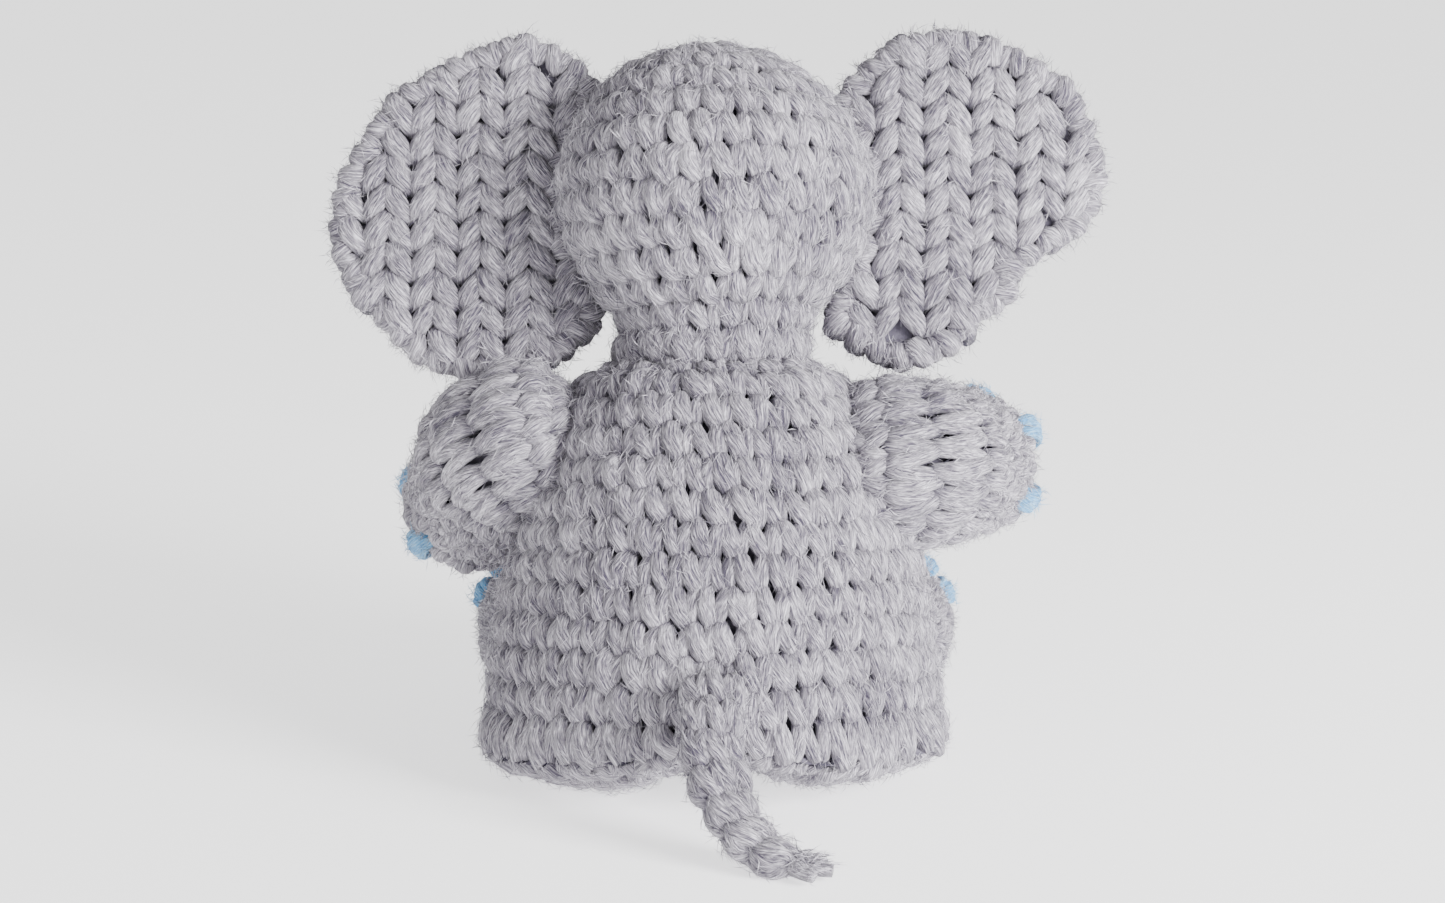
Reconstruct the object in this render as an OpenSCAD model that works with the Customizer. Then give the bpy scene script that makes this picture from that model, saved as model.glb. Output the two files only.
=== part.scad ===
// A seated crocheted elephant that faces -Y: stuffed covers sewn together, with safety eyes and blue toes.
// Each sewn seam that lets a piece flop is a ball (or, for an ear, a round edge) in a shallow seat.

/* [Torso] */
// Height from the base to the neck, along the torso's own axis
torso_h = 78; // [66:1:92]
// Width across the fold round the base
base_w = 87; // [76:1:102]
// Width of the neck
neck_w = 36; // [30:1:38]
// Height of the fold over the middle of the base
fold_h = 5; // [3:0.5:8]
// Lean of the torso towards the front, in degrees
lean = 11; // [6:1:16]
// Height of the middle of the base over the surface
base_lift = 1.5; // [1:0.5:3]

/* [Fabric] */
// Thickness of a crocheted cover
wall = 4; // [3:0.5:5]
// Gap between a cover and what fills it
fill_gap = 0.2; // [0.1:0.1:0.5]
// Clearance round a piece that turns in its seat
seat_gap = 0.4; // [0.3:0.1:0.6]

/* [Head] */
// Diameter of the head
head_d = 60; // [52:1:68]
// Nod of the head beyond the lean of the torso, in degrees
head_nod = 4; // [0:1:8]

/* [Ears] */
// Reach of an ear from its seam to its outer edge
ear_reach = 43; // [36:1:52]
// Thickness of an ear
ear_t = 5; // [4:0.5:6]
// How far in front of the middle of the head an ear is sewn
ear_forward = 4; // [2:0.5:8]
// Length of the seam of an ear
ear_seam = 26; // [20:1:30]

/* [Trunk] */
// Diameter of the trunk
trunk_d = 18; // [14:1:20]
// Radius of the trunk's bend, along its middle
trunk_bend_r = 20; // [16:1:26]
// Length of the straight end of the trunk
trunk_end = 12; // [8:1:16]

/* [Arms] */
// Diameter of an arm where it is sewn on
arm_d = 32; // [27:1:34]
// Diameter of an arm near its end
arm_end_d = 28; // [23:1:31]
// Length of an arm from the middle of its seat
arm_l = 26; // [22:1:32]
// Height of the shoulders along the torso
shoulder_h = 56.5; // [52:0.5:58]
// Turn of the arms towards the front, in degrees
arm_forward = 70; // [60:1:75]
// Droop of the left arm, in degrees
arm_droop_left = 20; // [10:1:22]
// Droop of the right arm, in degrees
arm_droop_right = 4; // [2:1:14]

/* [Legs] */
// Diameter of a leg
leg_d = 31; // [26:1:33]
// Length of a leg from the middle of its seat
leg_l = 24; // [20:1:32]
// Turn of a hip from straight ahead, in degrees
hip_turn = 44; // [42:1:50]
// Splay of a leg, in degrees
leg_splay = 10; // [4:1:16]

/* [Toes] */
// Diameter of a toe stitch
toe_d = 5; // [3.5:0.5:6]
// Length of a toe stitch
toe_l = 6.5; // [5:0.5:8]
// Angle between two toes of an arm, in degrees
arm_toe_step = 60; // [50:1:66]
// Angle between two toes of a leg, in degrees
leg_toe_step = 27; // [27:1:34]

/* [Tail] */
// Width of the tail
tail_w = 9; // [7:0.5:11]
// Thickness of the tail
tail_t = 5; // [4:0.5:6]
// Height of the tail's seam along the torso
tail_h = 17; // [14:0.5:22]
// Length of a loose strand at the tip
strand_l = 8; // [5:0.5:12]

/* [Eyes] */
// Diameter of an eye
eye_d = 9; // [7:0.5:11]
// Diameter of the stem behind an eye
stem_d = 3.6; // [3:0.1:4.2]
// Diameter of the washer on the stem
washer_d = 9; // [8:0.5:11]
// Thickness of the washer
washer_t = 1.6; // [1.2:0.1:2]
// Clearance round the stem
stem_gap = 0.1; // [0.05:0.05:0.2]

/* [Hidden] */
$fn = 96;

left = 1;
right = -1;
grey = [0.68, 0.66, 0.70];
grey_shade = [0.60, 0.58, 0.62];
blue = [0.55, 0.74, 0.90];
fill_white = [0.95, 0.95, 0.93];

// The torso stands so that the middle of its flat rest face is the origin.
seat_back = 24;
room = 400;

// The torso's side runs from the fold to the neck as one smooth curve.
side_power = 1.6;
side_steps = 18;
base_steps = 10;
neck_rim = 3.5; // how far below the neck's pivot the torso's cover ends
neck_r = neck_w / 2;

head_r = head_d / 2;

function side_share(h) = (h - fold_h) / (torso_h - fold_h);
function side_r(h) = neck_r + (base_w / 2 - neck_r) * sqrt(max(0, 1 - pow(side_share(h), side_power)));

// The outline of the torso on one side of its axis, pulled in by inset.
function torso_outline(inset) = concat(
    [for (i = [0 : base_steps])
        let (a = 90 * i / base_steps)
        [(base_w / 2 - inset) * sin(a), fold_h * (1 - cos(a)) + inset * cos(a)]],
    [for (i = [1 : side_steps - 1])
        let (h = fold_h + (torso_h - fold_h) * i / side_steps)
        [side_r(h) - inset, h]],
    [[neck_r - inset, torso_h], [0, torso_h]]
);

// Seats of the limbs, in the torso's own frame.
arm_seat_out = 6;
arm_swing_in = 4; // how far an arm may swing in towards the front, in degrees
arm_ball_r = arm_d / 2;
limb_neck = 1.5; // how much thinner than its ball a limb starts
shoulder_x = side_r(shoulder_h) + arm_seat_out;

leg_seat_out = 4;
leg_ball_r = leg_d / 2;
hip_reach = side_r(leg_ball_r) + leg_seat_out;
hip_x = hip_reach * sin(hip_turn);
hip_y = -hip_reach * cos(hip_turn);
hip_h = (leg_ball_r - base_lift - hip_y * sin(lean)) / cos(lean);

tail_ball_r = tail_w / 2 + 0.5;
tail_seat_out = 2;
tail_root_y = side_r(tail_h) + tail_seat_out;
tail_y = seat_back + tail_root_y * cos(lean) - tail_h * sin(lean);
tail_z = base_lift + tail_root_y * sin(lean) + tail_h * cos(lean);

// Seat of the trunk, in the head's own frame, whose origin is the neck's pivot.
trunk_r = trunk_d / 2;
trunk_ball_r = trunk_r + 1;
trunk_seat_out = 5;
trunk_dip = 14; // degrees of its seat below the middle of the face
trunk_rise = 8; // degrees that it leaves the seat above the middle of the face
trunk_sweep = 76;
trunk_y = -(head_r + trunk_seat_out) * cos(trunk_dip);
trunk_h = head_r - (head_r + trunk_seat_out) * sin(trunk_dip);

// Eyes, in the head's own frame.
eye_turn = 27; // degrees to each side of the face
eye_rise = 14; // degrees over the middle of the face
stem_spare = 2; // how far the stem runs beyond its washer
stem_l = wall + washer_t + stem_spare;
eye_dome = 0.4; // how much of the eye's diameter stands out
eye_steps = 12;
washer_room = 0.8; // clearance of the filling round a washer

module torso_place() {
    translate([0, seat_back, base_lift]) rotate([lean, 0, 0]) children();
}

module head_place() {
    torso_place() translate([0, 0, torso_h]) rotate([head_nod, 0, 0]) children();
}

module above(height) {
    intersection() {
        children();
        translate([-room / 2, -room / 2, height]) cube(room);
    }
}

// Balls that clear, wall or gap every seat in the torso, each grown by extra.
module torso_seats(extra) {
    translate([0, 0, torso_h]) sphere(neck_r + extra);
    for (side = [left, right]) {
        translate([side * shoulder_x, 0, shoulder_h]) sphere(arm_ball_r + extra);
        // the arm's tube clears the torso's side, at rest and swung in
        for (swing = [0, arm_swing_in])
            arm_turn(side, swing) cylinder(r = arm_ball_r - limb_neck + extra, h = arm_l);
        translate([side * hip_x, hip_y, hip_h]) sphere(leg_ball_r + extra);
    }
    translate([0, tail_root_y, tail_h]) sphere(tail_ball_r + extra);
}

module torso_hollow(inset) {
    above(inset) torso_place() difference() {
        rotate_extrude() polygon(torso_outline(inset));
        torso_seats(seat_gap + inset);
    }
}

module torso_cover() {
    color(grey) difference() {
        above(0) torso_place() difference() {
            rotate_extrude() polygon(torso_outline(0));
            torso_seats(seat_gap);
            translate([-room / 2, -room / 2, torso_h - neck_rim]) cube(room);
        }
        torso_hollow(wall);
    }
}

module torso_stuffing() {
    color(fill_white) torso_hollow(wall + fill_gap);
}

// The head is a ball on a smaller ball, which turns in the neck.
module head_form(inset) {
    translate([0, 0, head_r]) sphere(head_r - inset);
    sphere(neck_r - inset);
}

module eye_place(side) {
    translate([0, 0, head_r]) rotate([0, 0, -180 + side * eye_turn]) rotate([-90 + eye_rise, 0, 0])
        translate([0, 0, head_r]) children();
}

module ear_axis(side) {
    translate([side * head_r, -ear_forward, head_r]) children();
}

module trunk_place() {
    translate([0, trunk_y, trunk_h]) rotate([-trunk_rise, 0, 0]) children();
}

// The cover is thinner behind the ear's groove, by groove_share of its thickness.
groove_share = 0.8;
module head_hollow(inset) {
    difference() {
        head_form(inset);
        trunk_place() sphere(trunk_ball_r + seat_gap + inset);
        for (side = [left, right])
            ear_axis(side) cylinder(
                r = ear_t / 2 + seat_gap + inset - wall * groove_share,
                h = ear_seam + inset, center = true);
    }
}

module head_cover() {
    color(grey) head_place() difference() {
        head_form(0);
        head_hollow(wall);
        trunk_place() sphere(trunk_ball_r + seat_gap);
        for (side = [left, right]) {
            ear_axis(side) cylinder(r = ear_t / 2 + seat_gap, h = ear_seam + 2 * seat_gap, center = true);
            eye_place(side) translate([0, 0, -2 * wall]) cylinder(d = stem_d + 2 * stem_gap, h = 3 * wall);
        }
    }
}

module head_stuffing() {
    color(fill_white) head_place() difference() {
        head_hollow(wall + fill_gap);
        for (side = [left, right])
            eye_place(side) translate([0, 0, -stem_l - wall])
                cylinder(d = washer_d + washer_room, h = stem_l + wall);
    }
}

module eye(side) {
    color("black") head_place() eye_place(side) {
        translate([0, 0, fill_gap]) rotate_extrude() polygon(concat([[0, 0]],
            [for (i = [0 : eye_steps])
                let (a = 90 * i / eye_steps)
                [eye_d / 2 * cos(a), eye_d * eye_dome * sin(a)]]));
        translate([0, 0, -stem_l]) cylinder(d = stem_d, h = stem_l + 2 * fill_gap);
    }
}

module eye_washer(side) {
    color("white") head_place() eye_place(side) translate([0, 0, -wall - washer_t - 2 * fill_gap])
        difference() {
            cylinder(d = washer_d, h = washer_t);
            translate([0, 0, -1]) cylinder(d = stem_d + stem_gap, h = washer_t + 2);
        }
}

// A closed curve through points, rounded off between them.
curve_steps = 5;
function knot(p, i) = p[(i + len(p)) % len(p)];
function bend(a, b, c, d, t) = 0.5 * (2 * b + (c - a) * t + (2 * a - 5 * b + 4 * c - d) * t * t
    + (3 * b - a - 3 * c + d) * t * t * t);
function rounded(p) = [for (i = [0 : len(p) - 1]) for (k = [0 : curve_steps - 1])
    bend(knot(p, i - 1), knot(p, i), knot(p, i + 1), knot(p, i + 2), k / curve_steps)];

// Outer outlines of the ears: reach as a share of ear_reach, then height over the middle of the head.
ear_edge_left = [[0.02, 23], [0.14, 28.5], [0.36, 28], [0.60, 22], [0.86, 14], [0.97, 4],
    [0.985, -8], [0.90, -19], [0.62, -30], [0.27, -34], [0.04, -31]];
ear_edge_right = [[0.02, 23.5], [0.15, 29.5], [0.38, 31], [0.64, 27.5], [0.92, 18], [1, 6],
    [0.95, -5], [0.70, -12], [0.58, -20], [0.36, -29.5], [0.15, -32.5], [0.02, -29]];
ear_tuck = 4; // how far the ear runs in over the head's curve, above and below its seam
ear_tuck_low = -24; // height of its lower inner corner
ear_tuck_high = 18; // height of its upper inner corner
ear_clear = 1; // clearance between the ear's inner edge and the head
ear_root_gap = 0.5; // how far the round edge stops short of each end of its groove
ear_web = 0.5; // how much thinner than the ear the web is that joins its round edge
ear_web_cut = 0.01; // so that the sheet stops just short of the round edge

module ear_sheet(edge) {
    difference() {
        rotate([90, 0, 0]) linear_extrude(ear_t, center = true) polygon(rounded(concat(
            [[-ear_tuck, ear_tuck_low], [-ear_tuck, ear_tuck_high]],
            [for (p = edge) [p[0] * ear_reach, p[1]]])));
        // the edge keeps clear of the head's ball
        translate([-head_r, ear_forward, 0]) sphere(head_r + ear_clear);
        // and of the seam's round edge
        cylinder(r = ear_t / 2 + ear_web_cut, h = ear_seam, center = true);
    }
}

module ear(side, edge) {
    root_l = ear_seam - 2 * ear_root_gap;
    web_t = ear_t - ear_web;
    color(grey) head_place() ear_axis(side) mirror([side == left ? 0 : 1, 0, 0]) {
        ear_sheet(edge);
        cylinder(d = ear_t, h = root_l, center = true);
        translate([0, -web_t / 2, -root_l / 2]) cube([ear_t, web_t, root_l]);
    }
}

// The trunk bends down from its ball and ends in a short straight stretch.
module trunk_form(inset) {
    sphere(trunk_ball_r - inset);
    translate([0, 0, -trunk_bend_r]) rotate([90, 0, -90]) rotate([0, 0, 90 - trunk_sweep])
        rotate_extrude(angle = trunk_sweep) translate([trunk_bend_r, 0]) circle(trunk_r - inset);
    translate([0, 0, -trunk_bend_r]) rotate([trunk_sweep, 0, 0]) translate([0, 0, trunk_bend_r])
        rotate([90, 0, 0]) {
            cylinder(r = trunk_r - inset, h = trunk_end);
            translate([0, 0, trunk_end]) intersection() {
                sphere(trunk_r - inset);
                cylinder(r = trunk_r, h = trunk_r);
            }
        }
}

module trunk_cover() {
    color(grey) head_place() trunk_place() difference() {
        trunk_form(0);
        trunk_form(wall);
    }
}

module trunk_stuffing() {
    color(fill_white) head_place() trunk_place() trunk_form(wall + fill_gap);
}

// A limb: a ball in its seat, then a tube along +Z with a round-edged end.
limb_edge = 6;
edge_steps = 6;
module limb_form(ball_r, end_r, length, inset) {
    sphere(ball_r - inset);
    rotate_extrude() polygon(concat(
        [[0, 0], [ball_r - limb_neck - inset, 0]],
        [for (i = [0 : edge_steps])
            let (a = 90 * i / edge_steps, r = limb_edge - inset)
            [end_r - limb_edge + r * cos(a), length - limb_edge + r * sin(a)]],
        [[0, length - inset]]
    ));
}

// A toe is a bar with domed ends, grown by extra.
toe_steps = 6;
module toe(extra) {
    r = toe_d / 2 + extra;
    straight = (toe_l - toe_d) / 2;
    rotate_extrude() polygon(concat(
        [for (k = [0 : toe_steps])
            let (a = 90 * k / toe_steps)
            [r * sin(a), -straight - r * cos(a)]],
        [for (k = [0 : toe_steps])
            let (a = 90 * k / toe_steps)
            [r * cos(a), straight + r * sin(a)]]
    ));
}

// Toes lie over the edge of the limb's end, from its first angle round by step.
module toes(end_r, length, first, step, extra) {
    rim = limb_edge * cos(45);
    for (i = [0 : 2])
        rotate([0, 0, first + i * step])
            translate([end_r - limb_edge + rim, 0, length - limb_edge + rim]) rotate([0, -45, 0])
                toe(extra);
}

toe_gap = 0.1;
arm_end_r = arm_end_d / 2;
function arm_droop(side) = side == left ? arm_droop_left : arm_droop_right;

// In an arm's own frame +Z runs along it, and +X is its lower side.
module arm_turn(side, swing) {
    translate([side * shoulder_x, 0, shoulder_h])
        rotate([0, 0, side == left ? -arm_forward - swing : 180 + arm_forward + swing])
            rotate([0, 90 + arm_droop(side), 0]) children();
}

module arm_place(side) {
    torso_place() arm_turn(side, 0) children();
}

// The first toe is on top, and the others follow round the outer side.
module arm_toes(side, extra) {
    toes(arm_end_r, arm_l, 180, -side * arm_toe_step, extra);
}

module arm_cover(side) {
    color(grey) arm_place(side) difference() {
        limb_form(arm_ball_r, arm_end_r, arm_l, 0);
        limb_form(arm_ball_r, arm_end_r, arm_l, wall);
        arm_toes(side, toe_gap);
    }
}

module arm_stuffing(side) {
    color(fill_white) arm_place(side) limb_form(arm_ball_r, arm_end_r, arm_l, wall + fill_gap);
}

// In a leg's own frame +Z runs along it, and +X is its upper side.
module leg_place(side) {
    torso_place() translate([side * hip_x, hip_y, hip_h]) rotate([-lean, 0, 0])
        rotate([0, 0, side * leg_splay]) rotate([90, 0, 0]) rotate([0, 0, 90]) children();
}

// The first toe is near the top, and the others follow round the outer side.
leg_toe_first = 14;
module leg_toes(side, extra) {
    toes(leg_ball_r, leg_l, -side * leg_toe_first, -side * leg_toe_step, extra);
}

module leg_cover(side) {
    color(grey) leg_place(side) difference() {
        limb_form(leg_ball_r, leg_ball_r, leg_l, 0);
        limb_form(leg_ball_r, leg_ball_r, leg_l, wall);
        leg_toes(side, toe_gap);
    }
}

module leg_stuffing(side) {
    color(fill_white) leg_place(side) limb_form(leg_ball_r, leg_ball_r, leg_l, wall + fill_gap);
}

module toes_arm(side) {
    color(blue) arm_place(side) arm_toes(side, 0);
}

module toes_leg(side) {
    color(blue) leg_place(side) leg_toes(side, 0);
}

// The tail's route from its ball: sideways, back, and height as a share of the ball's height.
tail_route = [[0, 2, 0.95], [0, 7, 0.80], [0, 10, 0.62], [-1, 13, 0.44], [-3, 16, 0.27],
    [-6, 19, 0.12], [-10, 22, 0.03], [-15, 24, 0]];
tail_sides = 12;
up = [0, 0, 1];
function tail_point(i) = let (p = tail_route[i])
    [p[0], p[1], (p[2] - 1) * (tail_z - tail_t / 2)];
function unit(v) = v / norm(v);
function tail_along(i) = unit(tail_point(min(i + 1, len(tail_route) - 1)) - tail_point(max(i - 1, 0)));
function tail_ring(i) = let (
        t = tail_along(i),
        across = unit(cross(up, t)),
        out = cross(t, across)
    ) [for (k = [0 : tail_sides - 1])
        let (a = 360 * k / tail_sides)
        tail_point(i) + across * cos(a) * tail_w / 2 + out * sin(a) * tail_t / 2];

module tail_place() {
    translate([0, tail_y, tail_z]) children();
}

module tail_cord() {
    rings = len(tail_route);
    points = [for (i = [0 : rings - 1]) each tail_ring(i)];
    end = (rings - 1) * tail_sides;
    color(grey) tail_place() {
        sphere(tail_ball_r);
        polyhedron(points, concat(
            [for (k = [1 : tail_sides - 2]) [0, k, k + 1]],
            [for (i = [0 : rings - 2]) for (k = [0 : tail_sides - 1])
                let (n = (k + 1) % tail_sides, a = i * tail_sides, b = a + tail_sides)
                each [[a + k, b + n, a + n], [a + k, b + k, b + n]]],
            [for (k = [1 : tail_sides - 2]) [end, end + k + 1, end + k]]
        ), convexity = 6);
    }
}

// Loose strands fan out from the tail's end along the surface.
strand_d = 2;
strand_fan = 24;
strand_step = 2.6; // from one strand's root to the next
strand_gap = 0.8; // from the cord's end to a strand's root, which also clears the root's turned corner
module tail_tuft() {
    last = len(tail_route) - 1;
    along = tail_along(last);
    color(grey_shade) tail_place() translate(tail_point(last)) rotate([0, 0, atan2(along[1], along[0])])
        for (turn = [-1, 0, 1])
            translate([strand_gap, turn * strand_step, 0]) rotate([0, 0, turn * strand_fan])
                rotate([0, 90, 0]) cylinder(d1 = strand_d, d2 = strand_d / 2, h = strand_l);
}

torso_cover();
torso_stuffing();
head_cover();
head_stuffing();
eye(left);  // eye_left
eye(right);  // eye_right
eye_washer(left);  // eye_washer_left
eye_washer(right);  // eye_washer_right
ear(left, ear_edge_left);  // ear_left
ear(right, ear_edge_right);  // ear_right
trunk_cover();
trunk_stuffing();
arm_cover(left);  // arm_cover_left
arm_cover(right);  // arm_cover_right
arm_stuffing(left);  // arm_stuffing_left
arm_stuffing(right);  // arm_stuffing_right
leg_cover(left);  // leg_cover_left
leg_cover(right);  // leg_cover_right
leg_stuffing(left);  // leg_stuffing_left
leg_stuffing(right);  // leg_stuffing_right
toes_arm(left);  // toes_arm_left
toes_arm(right);  // toes_arm_right
toes_leg(left);  // toes_leg_left
toes_leg(right);  // toes_leg_right
tail_cord();
tail_tuft();
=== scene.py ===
import math
import bpy
import numpy as np
from mathutils import Matrix, Vector


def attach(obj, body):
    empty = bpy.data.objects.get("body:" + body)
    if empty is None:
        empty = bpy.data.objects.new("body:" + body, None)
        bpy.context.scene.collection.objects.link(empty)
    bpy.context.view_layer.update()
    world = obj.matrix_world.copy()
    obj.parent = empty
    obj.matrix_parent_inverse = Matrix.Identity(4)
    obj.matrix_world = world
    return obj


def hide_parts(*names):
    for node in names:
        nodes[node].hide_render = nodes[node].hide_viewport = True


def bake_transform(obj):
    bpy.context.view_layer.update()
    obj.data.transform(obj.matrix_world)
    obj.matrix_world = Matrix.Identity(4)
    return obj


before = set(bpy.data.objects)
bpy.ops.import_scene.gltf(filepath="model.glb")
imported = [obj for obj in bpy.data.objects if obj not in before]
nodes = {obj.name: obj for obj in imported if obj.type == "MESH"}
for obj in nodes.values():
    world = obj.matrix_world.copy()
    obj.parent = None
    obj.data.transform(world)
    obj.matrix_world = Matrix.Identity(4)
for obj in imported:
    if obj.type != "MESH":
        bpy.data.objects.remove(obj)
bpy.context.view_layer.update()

rng = np.random.default_rng(5)


# The places of the pieces are worked out in millimetres, from the same sizes as the model.
def shift(x, y, z):
    return Matrix.Translation((x, y, z))


def turn(axis, degrees):
    return Matrix.Rotation(math.radians(degrees), 4, axis)


size = dict(torsoH=78, baseW=87, neckW=36, foldH=5, lean=11, baseLift=1.5, seatBack=24, sidePower=1.6,
            headD=60, headNod=4, earForward=4, trunkD=18, bendR=20, trunkEnd=12,
            armD=32, armEndD=28, armL=26, shoulderH=56.5, armSeatOut=6,
            legD=31, legL=24, hipTurn=44, legSeatOut=4, edge=6,
            armToeStep=60, legToeStep=27, legToeFirst=14, tailW=9, tailT=5, tailH=17, tailSeatOut=2,
            trunkSeatOut=5, trunkDip=14, trunkRise=8, trunkSweep=76)
# How the limbs are sewn on here, left side first: the right arm stands out more, the left one hangs lower,
# and the feet are slim.
sewn = dict(droop={1: 26, -1: 2}, armForward={1: 70, -1: 62}, legSplay=7, legSlim=0.8)
sideName = {1: "left", -1: "right"}
neckR = size["neckW"] / 2
headR = size["headD"] / 2


def sideR(h):
    share = (h - size["foldH"]) / (size["torsoH"] - size["foldH"])
    return neckR + (size["baseW"] / 2 - neckR) * math.sqrt(max(0, 1 - max(0, share) ** size["sidePower"]))


torsoPlace = shift(0, size["seatBack"], size["baseLift"]) @ turn("X", size["lean"])
headPlace = torsoPlace @ shift(0, 0, size["torsoH"]) @ turn("X", size["headNod"])
shoulderX = sideR(size["shoulderH"]) + size["armSeatOut"]
hipReach = sideR(size["legD"] / 2) + size["legSeatOut"]
hipX = hipReach * math.sin(math.radians(size["hipTurn"]))
hipY = -hipReach * math.cos(math.radians(size["hipTurn"]))
leanRad = math.radians(size["lean"])
hipH = (size["legD"] / 2 - size["baseLift"] - hipY * math.sin(leanRad)) / math.cos(leanRad)
tailRootY = sideR(size["tailH"]) + size["tailSeatOut"]
tailRoot = torsoPlace @ Vector((0, tailRootY, size["tailH"]))


def armPlace(side):
    heading = -sewn["armForward"][1] if side == 1 else 180 + sewn["armForward"][-1]
    return (torsoPlace @ shift(side * shoulderX, 0, size["shoulderH"]) @ turn("Z", heading)
            @ turn("Y", 90 + sewn["droop"][side]))


def legPlace(side):
    return (torsoPlace @ shift(side * hipX, hipY, hipH) @ turn("X", -size["lean"])
            @ shift(-side * sewn["legSlim"], 0, -sewn["legSlim"])
            @ turn("Z", side * sewn["legSplay"]) @ turn("X", 90) @ turn("Z", 90))


dip = math.radians(size["trunkDip"])
trunkOut = headR + size["trunkSeatOut"]
trunkPlace = (headPlace @ shift(0, -trunkOut * math.cos(dip), headR - trunkOut * math.sin(dip))
              @ turn("X", -size["trunkRise"]))


def unit(v):
    return v / np.maximum(np.linalg.norm(v, axis=-1, keepdims=True), 1e-9)


def placed(points, place):
    m = np.array(place)
    return points @ m[:3, :3].T + m[:3, 3]


def smoothstep(t):
    t = np.clip(t, 0, 1)
    return t * t * (3 - 2 * t)


# a smooth wobble over space, from a few sines with fixed directions
wobbleLook = dict(waves=10, rate=0.075, share=1 / 3)
wobbleWaves = rng.normal(size=(wobbleLook["waves"], 3)) * wobbleLook["rate"]
wobblePhase = rng.uniform(0, 2 * math.pi, size=(wobbleLook["waves"], 3))


def wobble(p, amount, scale=1.0):
    total = np.zeros(p.shape)
    for wave, phase in zip(wobbleWaves, wobblePhase):
        total += np.sin((p @ (wave * scale))[..., None] + phase)
    return total * amount * wobbleLook["share"]


def makeMesh(name, verts, faceSets, uvs, attributes=None):
    # faceSets: arrays of equal-sided faces; uvs: one array of corner coordinates per face set
    mesh = bpy.data.meshes.new(name)
    corners = np.concatenate([f.reshape(-1) for f in faceSets]).astype(np.int32)
    counts = np.concatenate([np.full(len(f), f.shape[1]) for f in faceSets])
    starts = np.concatenate([[0], np.cumsum(counts)[:-1]]).astype(np.int32)
    mesh.vertices.add(len(verts))
    mesh.vertices.foreach_set("co", (verts * 0.001).astype(np.float32).reshape(-1))
    mesh.loops.add(len(corners))
    mesh.polygons.add(len(counts))
    mesh.polygons.foreach_set("loop_start", starts)
    mesh.polygons.foreach_set("vertices", corners)
    mesh.update(calc_edges=True)
    layer = mesh.uv_layers.new(name="OFBake", do_init=False)
    layer.data.foreach_set("uv", np.concatenate([u.reshape(-1) for u in uvs]).astype(np.float32))
    for key, value in (attributes or {}).items():
        if value.ndim == 1:
            mesh.attributes.new(key, "FLOAT", "POINT").data.foreach_set("value", value.astype(np.float32))
        else:
            mesh.attributes.new(key, "FLOAT_VECTOR", "POINT").data.foreach_set(
                "vector", value.astype(np.float32).reshape(-1))
    mesh.polygons.foreach_set("use_smooth", np.full(len(counts), True))
    mesh.validate()
    obj = bpy.data.objects.new(name, mesh)
    bpy.context.scene.collection.objects.link(obj)
    return obj


def cells(count):
    # the lower corner of each cell in a square grid, and the cells' width
    across = max(1, math.ceil(math.sqrt(count)))
    index = np.arange(count)
    return np.stack([index % across, index // across], axis=1) / across, 1 / across


strandLook = dict(sides=9, wide=1.1, thick=0.95)  # sides of each strand's tube, and its shares across and up


def quadMap(left, right, heights):
    # the corners on the map of a grid of quads, whose columns go from left to right
    across = np.stack([left, right, right, left], axis=-1)[None] * np.ones((len(heights) - 1, 1, 1))
    low, high = heights[:-1], heights[1:]
    up = np.stack([low, low, high, high], axis=-1)[:, None] * np.ones((1, len(left), 1))
    return np.stack([across, up], axis=-1)


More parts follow.
